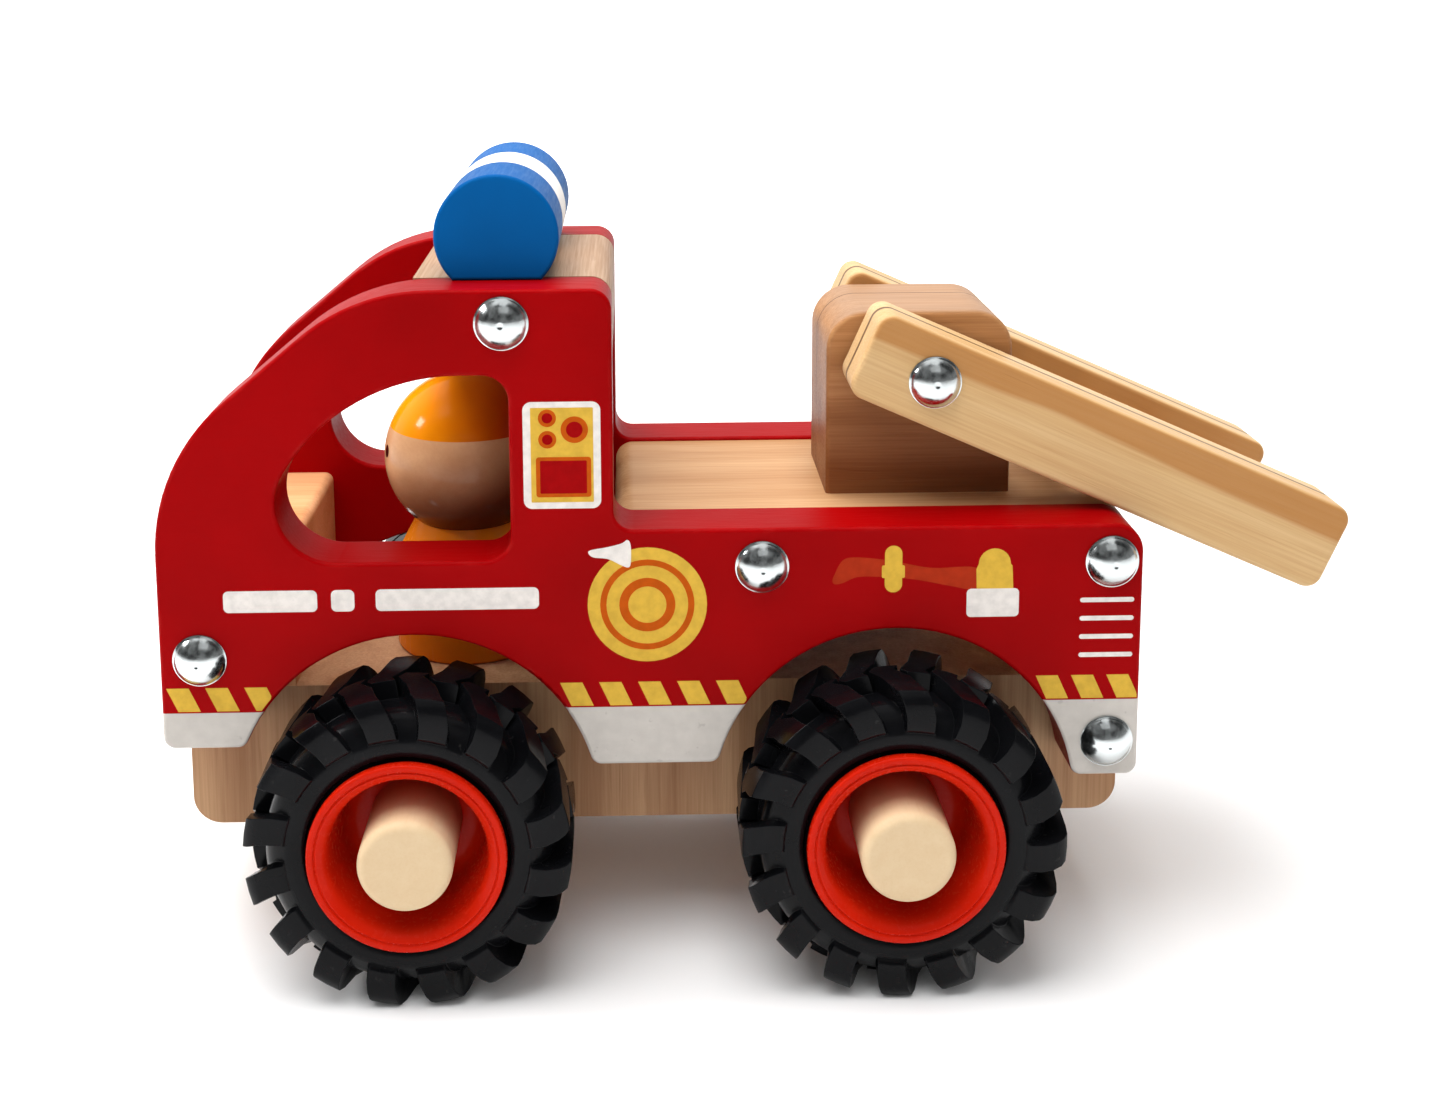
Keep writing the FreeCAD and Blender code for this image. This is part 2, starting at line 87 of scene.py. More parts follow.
class Nodes:
    """Short ways to build a node tree."""

    def __init__(self, tree):
        self.tree = tree

    def add(self, kind, inputs=None, **settings):
        """A new node with these settings, and its inputs linked or set."""
        node = self.tree.nodes.new(kind)
        for key, value in settings.items():
            setattr(node, key, value)
        for key, value in (inputs or {}).items():
            self.feed(node.inputs[key], value)
        return node

    def feed(self, socket, value):
        """Link an output to an input, or set the input's own value."""
        if isinstance(value, bpy.types.NodeSocket):
            self.tree.links.new(value, socket)
        else:
            socket.default_value = value

    def calc(self, operation, *values):
        """The result of one math node."""
        node = self.add("ShaderNodeMath", operation=operation)
        for socket, value in zip(node.inputs, values):
            self.feed(socket, value)
        return node.outputs["Value"]

    def span(self, value, low, high, to_low=0.0, to_high=1.0):
        """Map a value's range to another one, clamped."""
        node = self.add("ShaderNodeMapRange", {
            "Value": value,
            "From Min": low,
            "From Max": high,
            "To Min": to_low,
            "To Max": to_high,
        })
        return node.outputs["Result"]

    def axis(self, letter, place):
        """One coordinate of a vector."""
        return self.add("ShaderNodeSeparateXYZ", {"Vector": place}).outputs[letter]


class Finish(Nodes):
    """One material. Its patterns live in object space, which is the CAD frame in metres."""

    SOCKETS = {
        "color": "Base Color",
        "rough": "Roughness",
        "metal": "Metallic",
        "specular": "Specular IOR Level",
        "normal": "Normal",
        "glow": "Emission Strength",
        "glow_color": "Emission Color",
    }

    def __init__(self, name, **surface):
        self.material = bpy.data.materials.new(name)
        self.material.use_nodes = True
        super().__init__(self.material.node_tree)
        self.surface = self.tree.nodes["Principled BSDF"]
        self.place = self.add("ShaderNodeTexCoord").outputs["Object"]
        self.set(**surface)

    def set(self, **surface):
        """Feed inputs of the surface shader."""
        for key, value in surface.items():
            self.feed(self.surface.inputs[self.SOCKETS[key]], value)

    def turned(self, angle_y):
        """Object coordinates turned about Y, for pieces that lie at a slope."""
        node = self.add("ShaderNodeMapping", {"Vector": self.place, "Rotation": (0, angle_y, 0)})
        return node.outputs["Vector"]

    def noise(self, scale, stretch=(1, 1, 1), detail=3.0, rough=0.5, place=None, seed=0.0):
        """Noise with this many features a metre, squeezed by stretch along each axis."""
        sized = self.add("ShaderNodeMapping", {
            "Vector": place or self.place,
            "Scale": tuple(scale * part for part in stretch),
            "Location": (seed, seed * 1.7, seed * 2.3),
        })
        node = self.add("ShaderNodeTexNoise", {
            "Vector": sized.outputs["Vector"],
            "Scale": 1.0,
            "Detail": detail,
            "Roughness": rough,
        })
        return node.outputs["Fac"]

    def mix(self, share, first, second, blend="MIX"):
        """Blend two colours."""
        node = self.add("ShaderNodeMix", data_type="RGBA", blend_type=blend)
        share_input, first_input, second_input = node.inputs[0], node.inputs[6], node.inputs[7]
        self.feed(share_input, share)
        self.feed(first_input, first)
        self.feed(second_input, second)
        return node.outputs[2]

    def axis(self, letter, place=None):
        return super().axis(letter, place or self.place)

    def facing(self, letter):
        """How squarely the surface faces along an axis, 0 to 1, whichever way round."""
        normal = self.add("ShaderNodeTexCoord").outputs["Normal"]
        return self.calc("ABSOLUTE", self.axis(letter, normal))

    def bump(self, height, depth_mm, strength):
        """Normals of a surface raised by up to a depth."""
        inputs = {"Height": height, "Distance": depth_mm * MM, "Strength": strength}
        return self.add("ShaderNodeBump", inputs).outputs["Normal"]

    def edge(self, reach_mm):
        """1 on the outer edges of a piece and 0 on its flats."""
        bevel = self.add("ShaderNodeBevel", {"Radius": reach_mm * MM}, samples=4).outputs["Normal"]
        flat = self.add("ShaderNodeNewGeometry").outputs["Normal"]
        meet = self.add("ShaderNodeVectorMath", {0: bevel, 1: flat}, operation="DOT_PRODUCT")
        return self.span(meet.outputs["Value"], 0.985, 0.86)


def dress(material, *names):
    """Give carried-over CAD nodes a material."""
    for name in names:
        slots = NODES[name].data.materials
        slots.clear()
        slots.append(material)


def ending(*endings):
    """The names of the CAD nodes that end in one of these."""
    return [name for name in NODES if name.endswith(endings)]


# ---------------------------------------------------------------- wood

GRAIN = {"X": (0.06, 1, 1), "Y": (1, 0.06, 1), "Z": (1, 1, 0.06)}
FIBRE_STRETCH = 0.35
GLUE = srgb(84, 54, 30)
GLUE_WOBBLE = 0.10 * MM


def wood(name, pale, dark, grain="X", slope=0.0, glue_lines=(), glue_mm=1.0, seed=0.0, rough=0.42,
         shade=None, ring_share=0.42):
    """Varnished wood: soft bands, fine fibres and pores along the grain, with glue lines between plies.

    shade(finish, place, color) can tint the wood further, or paint shade onto it, before the glue lines are
    drawn."""
    finish = Finish(name)
    place = finish.turned(slope) if slope else finish.place
    along = GRAIN[grain]
    short = tuple(part * (FIBRE_STRETCH if part < 1 else 1) for part in along)
    bands = finish.noise(110, along, 3.0, 0.55, place, seed)
    rings = finish.calc("SINE", finish.calc("MULTIPLY", bands, 34.0))
    rings = finish.span(rings, -0.2, 1.0, 0.0, ring_share)
    fibre = finish.noise(2600, short, 2.0, 0.6, place, seed)
    pores = finish.noise(1500, along, 1.0, 0.5, place, seed + 4)
    cloud = finish.noise(38, along, 2.0, 0.5, place, seed + 9)
    color = finish.mix(finish.span(bands, 0.36, 0.66), pale, dark)
    color = finish.mix(rings, color, finish.mix(0.55, color, dark))
    color = finish.mix(finish.span(cloud, 0.4, 0.7, 0.0, 0.35), color, finish.mix(0.5, color, pale))
    color = finish.mix(finish.span(fibre, 0.35, 0.75, 0.0, 0.28), color, dark, "MULTIPLY")
    color = finish.mix(finish.span(pores, 0.66, 0.74, 0.0, 0.3), color, dark)
    if shade:
        color = shade(finish, place, color)
    height = finish.calc("ADD", fibre, finish.span(pores, 0.62, 0.7, 0.0, -0.8))
    if glue_lines:
        color, height = glued(finish, place, color, height, glue_lines, glue_mm, seed)
    shine = finish.span(fibre, 0.3, 0.8, rough - 0.06, rough + 0.14)
    finish.set(color=color, rough=shine, normal=finish.bump(height, 0.05, 0.55), specular=0.12)
    return finish.material


def glued(finish, place, color, height, middles, wide_mm, seed):
    """Colour and height with a dark, sunken and slightly wavy line at each of these places along Y."""
    across = finish.axis("Y")
    wave = finish.noise(90, (1, 0, 1), 2.0, 0.5, place, seed)
    wobble = finish.span(wave, 0.3, 0.7, -GLUE_WOBBLE, GLUE_WOBBLE)
    for middle in middles:
        away = finish.calc("SUBTRACT", finish.calc("ADD", across, wobble), middle * MM)
        away = finish.calc("ABSOLUTE", away)
        line = finish.span(away, wide_mm * 0.35 * MM, wide_mm * 0.75 * MM, 0.9, 0.0)
        color = finish.mix(line, color, GLUE)
        height = finish.calc("SUBTRACT", height, finish.calc("MULTIPLY", line, 1.5))
    return color, height


LADDER_SLOPE = math.radians(24)
JOINTS = {joint["name"]: Vector(joint["pos_m"]) for joint in frame["joints"]}
pivot = JOINTS["ladder_raise"]
rail_low, rail_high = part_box("ladder_left_rail")
rail_inner, rail_outer = abs(rail_high.y) / MM, abs(rail_low.y) / MM
rail_glue = rail_outer - 0.54 * (rail_outer - rail_inner)
block_low, block_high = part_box("ladder_block")
block_glue = block_high.y / MM * 0.28


def rail_shade(finish, place, color):
    """A browner heartwood band along the upper part of each rail, with a wandering edge."""
    pivot_rise = pivot.x * math.sin(LADDER_SLOPE) + pivot.z * math.cos(LADDER_SLOPE)
    rise = finish.calc("SUBTRACT", finish.axis("Z", place), pivot_rise)
    wave = finish.noise(30, (0.5, 0, 1), 2.0, 0.5, place, 14)
    wander = finish.span(wave, 0.3, 0.7, -1.4 * MM, 1.4 * MM)
    band = finish.span(finish.calc("ADD", rise, wander), 1.9 * MM, 2.7 * MM)
    on_side = finish.span(finish.facing("Y"), 0.5, 0.9)
    share = finish.calc("MULTIPLY", finish.calc("MULTIPLY", band, on_side), 0.8)
    return finish.mix(share, color, srgb(172, 116, 60))


def block_shade(finish, place, color):
    """Painted shade darkens the block towards its foot, and painted light greys its top."""
    # Painted shade: darker towards the foot of the block.
    low = finish.span(finish.axis("Z"), block_high.z - 4 * MM, block_low.z, 0.0, 0.65)
    color = finish.mix(low, color, srgb(104, 46, 20))
    # Painted light: the top faces turn greyer.
    painted_top_light = finish.span(finish.facing("Z"), 0.5, 0.9)
    return finish.mix(finish.calc("MULTIPLY", painted_top_light, 0.6), color, srgb(156, 128, 106))


deck_wood = wood("deck_wood", srgb(201, 160, 118), srgb(178, 132, 90), seed=1.0, ring_share=0.3)
roof_wood = wood("roof_wood", srgb(184, 151, 122), srgb(148, 113, 86), "Y", seed=2.5, ring_share=0.3)
chassis_wood = wood("chassis_wood", srgb(206, 166, 126), srgb(160, 116, 82), "Z", seed=3.5)
nose_wood = wood("nose_wood", srgb(234, 178, 130), srgb(206, 146, 98), seed=5.0, ring_share=0.25)
block_wood = wood(
    "block_wood", srgb(184, 134, 88), srgb(146, 98, 56), glue_lines=(block_glue,), glue_mm=0.34, seed=6.0,
    shade=block_shade, ring_share=0.2,
)
rail_wood = wood(
    "rail_wood", srgb(214, 182, 136), srgb(202, 164, 114), slope=-LADDER_SLOPE,
    glue_lines=(-rail_glue, rail_glue), seed=7.0, rough=0.38, shade=rail_shade, ring_share=0.18,
)
rung_wood = wood("rung_wood", srgb(236, 206, 160), srgb(206, 164, 114), "Y", seed=8.0)
axle_wood = wood("axle_wood", srgb(232, 204, 164), srgb(196, 156, 112), "Y", seed=9.0)

dress(deck_wood, "bed_deck")
dress(roof_wood, "roof_block")
dress(chassis_wood, "chassis_block")
dress(nose_wood, "front_block")
dress(block_wood, "ladder_block")
dress(rail_wood, "ladder_left_rail", "ladder_right_rail")
dress(rung_wood, *[name for name in NODES if "rung" in name])
dress(axle_wood, "front_axle", "rear_axle", *ending("_dowel"))

# ---------------------------------------------------------------- paint

RED = (0.325, 0.0006, 0.0016, 1.0)
BLUE = (0.0008, 0.100, 0.335, 1.0)
ORANGE = (0.86, 0.24, 0.010, 1.0)
SKIRT_TOP = 23.3 * MM
SKIRT_BLUR = 0.03 * MM
# How far below the panel's face the white skirt fades into red on the rounded edge.
SKIRT_FADE = (0.34 * MM, 0.22 * MM)
BEACON_BAND_HALF = 6.5 * MM
BLUR = 0.05 * MM
panel_low, panel_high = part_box("left_side_panel")
panel_face = abs(panel_low.y)


def paint(name, color, rough=0.36, grain=(0.08, 1, 1), seed=0.0, depth=0.035):
    """Brushed and rubbed paint over wood, with the wood's grain just showing through, and its colour."""
    finish = Finish(name, specular=0.03)
    soft = finish.noise(45, (1, 1, 1), 3.0, 0.5, seed=seed)
    fine = finish.noise(1900, grain, 3.0, 0.6, seed=seed + 2)
    peel = finish.noise(1200, (1, 1, 1), 2.0, 0.5, seed=seed + 5)
    deep = darker(color, 0.82)
    tint = finish.mix(finish.span(soft, 0.35, 0.68), color, deep)
    tint = finish.mix(finish.span(fine, 0.5, 0.8, 0.0, 0.22), tint, deep)
    height = finish.calc("ADD", finish.calc("MULTIPLY", fine, 0.7), finish.calc("MULTIPLY", peel, 0.5))
    finish.set(color=tint, normal=finish.bump(height, depth, 0.6))
    finish.set(rough=finish.span(fine, 0.3, 0.8, rough - 0.05, rough + 0.12))
    return finish, tint


def panel_paint():
    """Red paint, worn through to pink along the edges, with a speckled white skirt on the outer face."""
    finish, red = paint("red_panel_paint", RED, 0.34, (0.07, 1, 1))
    wear = finish.edge(0.7)
    patch = finish.span(finish.noise(260, detail=4.0, seed=12), 0.48, 0.62)
    worn = finish.calc("MULTIPLY", finish.calc("MULTIPLY", wear, patch), 0.35)
    rubbed = finish.mix(worn, red, srgb(226, 96, 88))
    low = finish.span(finish.axis("Z"), SKIRT_TOP + SKIRT_BLUR, SKIRT_TOP - SKIRT_BLUR)
    side = finish.calc("ABSOLUTE", finish.axis("Y"))
    outward = finish.span(side, panel_face - SKIRT_FADE[0], panel_face - SKIRT_FADE[1])
    specks = finish.span(finish.noise(700, detail=2.0, seed=21), 0.69, 0.74, 0.0, 0.25)
    mottle = finish.span(finish.noise(520, detail=4.0, seed=22), 0.3, 0.7, 0.0, 0.45)
    white = finish.mix(mottle, srgb(200, 194, 187), srgb(181, 175, 169))
    white = finish.mix(specks, white, srgb(134, 125, 120))
    finish.set(color=finish.mix(finish.calc("MULTIPLY", low, outward), rubbed, white))
    return finish.material


def beacon_paint():
    """Blue paint with a white band round the middle."""
    finish, blue = paint("blue_beacon_paint", BLUE, 0.40, (1, 0.07, 1), seed=3.0)
    side = finish.calc("ABSOLUTE", finish.axis("Y"))
    band = finish.span(side, BEACON_BAND_HALF + BLUR, BEACON_BAND_HALF - BLUR)
    mottle = finish.span(finish.noise(300, seed=31), 0.3, 0.7)
    white = finish.mix(mottle, srgb(250, 248, 244), srgb(238, 234, 228))
    finish.set(color=finish.mix(band, blue, white), specular=0.04)
    return finish.material


dress(panel_paint(), "left_side_panel", "right_side_panel")
dress(beacon_paint(), "beacon_bar")


# ---------------------------------------------------------------- driver

HELMET_RISE = 5.35 * MM
HELMET_BLUR = 0.04 * MM
EYE_TURN = math.radians(21)
EYE_RISE = math.radians(7)
EYE_RADIUS = 1.05 * MM
head_low, head_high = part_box("driver_head")
head_radius = (head_high.x - head_low.x) / 2
head = Vector(((head_low.x + head_high.x) / 2, 0, head_high.z - head_radius))


def eye_at(sign):
    """The middle of one eye, seen from the middle of the head."""
    level = math.cos(EYE_RISE)
    toward = Vector((-level * math.cos(EYE_TURN), sign * level * math.sin(EYE_TURN), math.sin(EYE_RISE)))
    return toward * head_radius


def head_finish():
    """A turned ball head: lacquered wood, a glossy painted helmet above the brow line and two round eyes.

    Painted shade darkens both towards the back of the cab, and the wood towards the neck."""
    finish = Finish("driver_lacquer", specular=0.14)
    grain = finish.noise(160, (1, 0.3, 1), 3.0, 0.5, seed=41)
    fibre = finish.noise(2200, (1, 0.1, 1), 2.0, 0.6, seed=42)
    skin = finish.mix(finish.span(grain, 0.35, 0.65), srgb(216, 170, 126), srgb(202, 152, 108))
    skin = finish.mix(finish.span(fibre, 0.4, 0.8, 0.0, 0.14), skin, srgb(176, 122, 82))
    shift = finish.add("ShaderNodeVectorMath", {0: finish.place, 1: tuple(-head)}, operation="ADD")
    place = shift.outputs["Vector"]
    back, rise = finish.axis("X", place), finish.axis("Z", place)
    helmet = finish.span(rise, HELMET_RISE - HELMET_BLUR, HELMET_RISE + HELMET_BLUR)
    cloud = finish.span(finish.noise(90, seed=43), 0.3, 0.7)
    orange = finish.mix(cloud, (0.93, 0.33, 0.004, 1), (0.85, 0.26, 0.003, 1))
    # Painted shade: the helmet turns dark red towards the back of the cab.
    painted_cab_shade = finish.span(back, -8 * MM, 7 * MM, 0.0, 0.92)
    orange = finish.mix(painted_cab_shade, orange, (0.36, 0.014, 0.001, 1))
    # Painted shade: the skin turns dark red-brown towards the back of the cab and the neck.
    painted_skin_shade = finish.calc("SUBTRACT", finish.calc("MULTIPLY", back, 0.5), rise)
    skin = finish.mix(finish.span(painted_skin_shade, -6 * MM, 8 * MM, 0.0, 0.92), skin, srgb(100, 32, 14))
    color = finish.mix(helmet, skin, orange)
    for sign in SIDES.values():
        away = finish.add("ShaderNodeVectorMath", {0: place, 1: tuple(eye_at(sign))}, operation="DISTANCE")
        dot = finish.span(away.outputs["Value"], EYE_RADIUS + BLUR, EYE_RADIUS - BLUR)
        color = finish.mix(dot, color, srgb(20, 14, 12))
    gloss = finish.span(fibre, 0.3, 0.8, 0.10, 0.16)
    finish.set(color=color, rough=gloss, normal=finish.bump(fibre, 0.02, 0.3))
    return finish.material


def body_finish():
    """The driver's orange paint."""
    finish, _ = paint("orange_body_paint", ORANGE, 0.22, (1, 1, 0.08), seed=6.0, depth=0.02)
    finish.set(specular=0.1)
    return finish.material


dress(head_finish(), "driver_head")
dress(body_finish(), "driver_body")

# ---------------------------------------------------------------- metal, plastic, rubber

def plate_finish():
    """Bright nickel plate with faint pressing marks."""
    finish = Finish("dome_plate", metal=1.0)
    marks = finish.noise(900, detail=3.0, seed=51)
    broad = finish.noise(260, detail=2.0, seed=52)
    height = finish.calc("ADD", finish.calc("MULTIPLY", marks, 0.25), broad)
    finish.set(color=finish.mix(broad, srgb(226, 231, 231), srgb(196, 202, 203)))
    finish.set(rough=finish.span(marks, 0.3, 0.8, 0.14, 0.26), normal=finish.bump(height, 0.12, 0.5))
    return finish.material


def rim_finish():
    """Moulded orange-red plastic with a faint orange-peel ripple."""
    finish = Finish("rim_plastic", specular=0.07)
    cloud = finish.span(finish.noise(120, detail=3.0, seed=61), 0.3, 0.7)
    peel = finish.noise(1500, detail=2.0, seed=62)
    color = finish.mix(cloud, (0.56, 0.013, 0.002, 1), (0.50, 0.010, 0.0015, 1))
    finish.set(color=color, rough=finish.span(peel, 0.3, 0.7, 0.20, 0.30))
    finish.set(normal=finish.bump(peel, 0.006, 0.3))
    return finish.material


def hub_finish():
    """A sanded dowel: pale and softly mottled at its end, with painted shade browning its side inside the
    rim.
    """
    finish = Finish("hub_wood", specular=0.15)
    mottle = finish.noise(420, (1, 0.3, 1), 4.0, 0.6, seed=71)
    fine = finish.noise(2600, (1, 0.1, 1), 2.0, seed=72)
    color = finish.mix(finish.span(mottle, 0.2, 0.85), srgb(216, 192, 156), srgb(208, 180, 142))
    color = finish.mix(finish.span(fine, 0.5, 0.8, 0.0, 0.2), color, srgb(200, 166, 123))
    side = finish.calc("ABSOLUTE", finish.axis("Y"))
    # Painted shade: the side turns brown towards the inside of the rim.
    color = finish.mix(finish.span(side, 42 * MM, 33 * MM, 0.0, 0.85), color, srgb(150, 72, 24))
    finish.set(color=color, rough=0.4, normal=finish.bump(fine, 0.03, 0.5))
    return finish.material


def tyre_finish():
    """Moulded black rubber: fine texture, a little dust in specks and a satin sheen."""
    finish = Finish("tyre_rubber", specular=0.10)
    grainy = finish.noise(2400, detail=3.0, seed=81)
    cloud = finish.noise(150, detail=4.0, seed=82)
    dust = finish.span(finish.noise(900, detail=4.0, seed=83), 0.68, 0.74, 0.0, 0.15)
    shade = finish.span(cloud, 0.3, 0.7)
    color = finish.mix(shade, (0.0022, 0.0023, 0.0028, 1), (0.0042, 0.0044, 0.0052, 1))
    color = finish.mix(dust, color, (0.07, 0.066, 0.062, 1))
    finish.set(color=color, rough=finish.span(cloud, 0.3, 0.7, 0.16, 0.28))
    finish.set(normal=finish.bump(grainy, 0.03, 0.5))
    return finish.material


plate = plate_finish()
dress(plate, "ladder_pivot_pin")
dress(hub_finish(), *ending("_hub"))


# ---------------------------------------------------------------- new meshes

def add_piece(name, mesh, material, body):
    """Link a new mesh piece that rides on a body and belongs to a material slot."""
    mesh.materials.clear()
    mesh.materials.append(material)
    piece = bpy.data.objects.new(name, mesh)
    bpy.context.scene.collection.objects.link(piece)
    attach(piece, body)
    return piece


def finish_mesh(build, mesh, sharp_over=None):
    """Close off a bmesh with outward normals.

    With an angle in degrees its faces are smooth, and its edges sharp above that angle."""
    bmesh.ops.remove_doubles(build, verts=build.verts, dist=1e-7)
    bmesh.ops.recalc_face_normals(build, faces=build.faces)
    for face in build.faces:
        face.smooth = sharp_over is not None
    if sharp_over is not None:
        for edge in build.edges:
            edge.smooth = edge.calc_face_angle(0.0) < math.radians(sharp_over)
    build.to_mesh(mesh)
    build.free()
    return mesh


def ring(build, radius, height, steps):
    """The vertices of one turn of a profile point, or a single one on the axis."""
    if radius == 0:
        return [build.verts.new((0, 0, height * MM))]
    turns = [2 * math.pi * step / steps for step in range(steps)]
    spots = [(radius * math.cos(turn) * MM, radius * math.sin(turn) * MM, height * MM) for turn in turns]
    return [build.verts.new(spot) for spot in spots]


def lathe(name, profile, steps=64):
    """A closed mesh turned about +Z from (radius, height) points in millimetres.

    The profile starts and ends on the axis, or stays off it and closes on itself."""
    build = bmesh.new()
    rings = [ring(build, radius, height, steps) for radius, height in profile]
    beyond = rings[1:] if profile[0][0] == 0 else rings[1:] + rings[:1]
    for first, second in zip(rings, beyond):
        for step in range(steps):
            ahead = (step + 1) % steps
            corners = [first[step % len(first)], first[ahead % len(first)]]
            corners += [second[ahead % len(second)], second[step % len(second)]]
            unique = [corner for index, corner in enumerate(corners) if corner not in corners[:index]]
            build.faces.new(unique)
    return finish_mesh(build, bpy.data.meshes.new(name), 40)


def side_of(name):
    """-1 for a piece on the left and +1 for one on the right."""
    return SIDES["left" if "left" in name else "right"]


def point_sideways(mesh, name, base):
    """Put a mesh where a node is, base away from the centre plane, with its own +Z pointing outwards."""
    low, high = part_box(name)
    sign = side_of(name)
    middle = Vector(((low.x + high.x) / 2, sign * base, (low.z + high.z) / 2))
    mesh.transform(Matrix.Translation(middle) @ Matrix.Rotation(math.radians(-90 * sign), 4, "X"))


# ---------------------------------------------------------------- pressed domes

# (radius, depth below the top) from the middle of the dimple to where the dome takes over.
DIMPLE = [(0, 0.16), (0.18, 0.15), (0.34, 0.07), (0.5, 0.025)]
DOME_STEPS = 14
BRIM_WIDE, BRIM_DROP, BRIM_ROUND = 0.2, 0.07, 0.03


def dome_profile(radius, tall):
    """A pressed dome with a thin brim and a small dimple in the middle."""
    sphere = (radius ** 2 + tall ** 2) / (2 * tall)
    dimple_radius = DIMPLE[-1][0]
    points = [(across, tall - depth) for across, depth in DIMPLE]
    for step in range(1, DOME_STEPS + 1):
        across = dimple_radius + (radius - BRIM_WIDE - dimple_radius) * step / DOME_STEPS
        points.append((across, tall - sphere + math.sqrt(sphere ** 2 - across ** 2)))
    edge = points[-1][1]
    inset = radius - BRIM_ROUND
    return points + [(inset, edge - BRIM_DROP), (radius, edge * 0.4), (inset, 0.0), (0, 0.0)]


def add_dome(name, base, body):
    """A dome in place of a nail or cap; base is how far the face below it is from the centre plane."""
    low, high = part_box(name)
    radius = (high.x - low.x) / 2
    tall = max(abs(low.y), abs(high.y)) - base
    mesh = lathe(f"{name}_dome", dome_profile(radius / MM, tall / MM))
    point_sideways(mesh, name, base)
    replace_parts(add_piece(f"{name}_dome", mesh, plate, body), name)


for name in ending("_nail"):
    add_dome(name, panel_face, "body")
for name in ending("_cap"):
    add_dome(name, rail_outer * MM, "ladder")

# ---------------------------------------------------------------- rims

CURVE_LIMIT = 0.48


def softened(corners, steps=5):
    """Round each corner (radius, height, how far before and after it its curve reaches) of a profile."""
    points = []
    count = len(corners)
    for index, (radius, height, reach) in enumerate(corners):
        corner = Vector((radius, height))
        before, after = (Vector(corners[(index + step) % count][:2]) - corner for step in (-1, 1))
        start = corner + before * min(reach / before.length, CURVE_LIMIT)
        stop = corner + after * min(reach / after.length, CURVE_LIMIT)
        for step in range(steps + 1):
            share = step / steps
            spot = start * (1 - share) ** 2 + corner * 2 * share * (1 - share) + stop * share ** 2
            points.append((spot.x, spot.y))
    return points


# The rim's section, from its inner end at the axle outwards along the tyre and back through the bowl:
# (radius, distance from the rim's inner end, reach of the corner's curve).
RIM_CORNERS = [
    (5.0, 0.0, 0.1), (9.0, 0.0, 0.5), (9.0, 5.6, 0.4), (14.7, 4.9, 0.5), (14.7, 6.0, 0.4), (13.3, 7.2, 0.3),
    (13.3, 20.2, 0.3), (14.7, 21.6, 0.4), (14.7, 23.1, 0.5), (13.7, 23.1, 0.25), (13.5, 22.72, 0.12),
    (13.25, 23.0, 0.2), (11.8, 22.0, 1.6), (10.6, 10.2, 2.5), (5.0, 10.2, 0.1),
]


def wheels_of(name):
    """The body that a piece of a wheel rides on."""
    return f"{name.split('_')[0]}_wheels"


rim_material = rim_finish()
for name in ending("_rim"):
    low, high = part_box(name)
    mesh = lathe(f"{name}_turned", softened(RIM_CORNERS), 128)
    point_sideways(mesh, name, min(abs(low.y), abs(high.y)))
    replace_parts(add_piece(f"{name}_turned", mesh, rim_material, wheels_of(name)), name)

# ---------------------------------------------------------------- tyres

LUGS = 16
LUG_PITCH = 2 * math.pi / LUGS
LUG_WIDE = 4.8
LUG_WALL = 0.3
LUG_SWEEP = math.radians(12.5)
# The lugs lean between the tread's middle and this far from it, and run straight down the wall.
SWEEP_REACH = 7.4
# The outer and the inner row overlap this far past the middle, then drop over this distance.
LUG_PAST_MIDDLE = 1.2
LUG_DROP = 0.4
# Shares of the pitch: one lug where both rows meet, both lugs together, and the least left to the other.
LUG_NARROW = 0.47
LUGS_TOGETHER = 0.94
LUG_LEAST = 0.30
# How far from the middle a lug has its full width.
LUG_WIDENS_OVER = 3.0

# Half of the tyre's section, from the bead to the middle of the tread: (radius, distance from the
# tyre's middle plane) beside the rim, between the lugs and on top of a lug.
BEAD = [(13.3, 6.4), (14.9, 6.9), (15.25, 7.7), (16.2, 8.15), (17.3, 8.2), (17.9, 8.05)]
HOLLOW = [
    (18.1, 7.95), (18.5, 7.75), (19.6, 7.15), (20.5, 6.4),
    (21.0, 5.7), (21.3, 5.1), (21.45, 4.2), (21.5, 2.6),
]
LUG_TOP = [
    (18.3, 8.45), (18.7, 8.62), (20.6, 8.68), (22.4, 8.5),
    (23.5, 8.15), (24.18, 7.4), (24.26, 6.2), (24.26, 2.6),
]


def mirrored(points):
    """The other half of the section, from the tread's middle to the other bead."""
    return [(radius, -across) for radius, across in reversed(points)]


def tyre_rows():
    """Rows across the tyre: hollow point, lug point, height share of the outer and of the inner lugs."""
    rows = [(point, point, 0.0, 0.0) for point in BEAD]
    rows += [(low, high, 1.0, 0.0) for low, high in zip(HOLLOW, LUG_TOP)]
    past, dropped = LUG_PAST_MIDDLE, LUG_PAST_MIDDLE + LUG_DROP
    for across, outer, inner in [(dropped, 1, 0), (past, 1, 1), (0, 1, 1), (-past, 1, 1), (-dropped, 0, 1)]:
        rows.append(((HOLLOW[-1][0], across), (LUG_TOP[-1][0], across), outer, inner))
    rows += [(low, high, 0.0, 1.0) for low, high in zip(mirrored(HOLLOW), mirrored(LUG_TOP))]
    rows += [(point, point, 0.0, 0.0) for point in mirrored(BEAD)]
    return rows


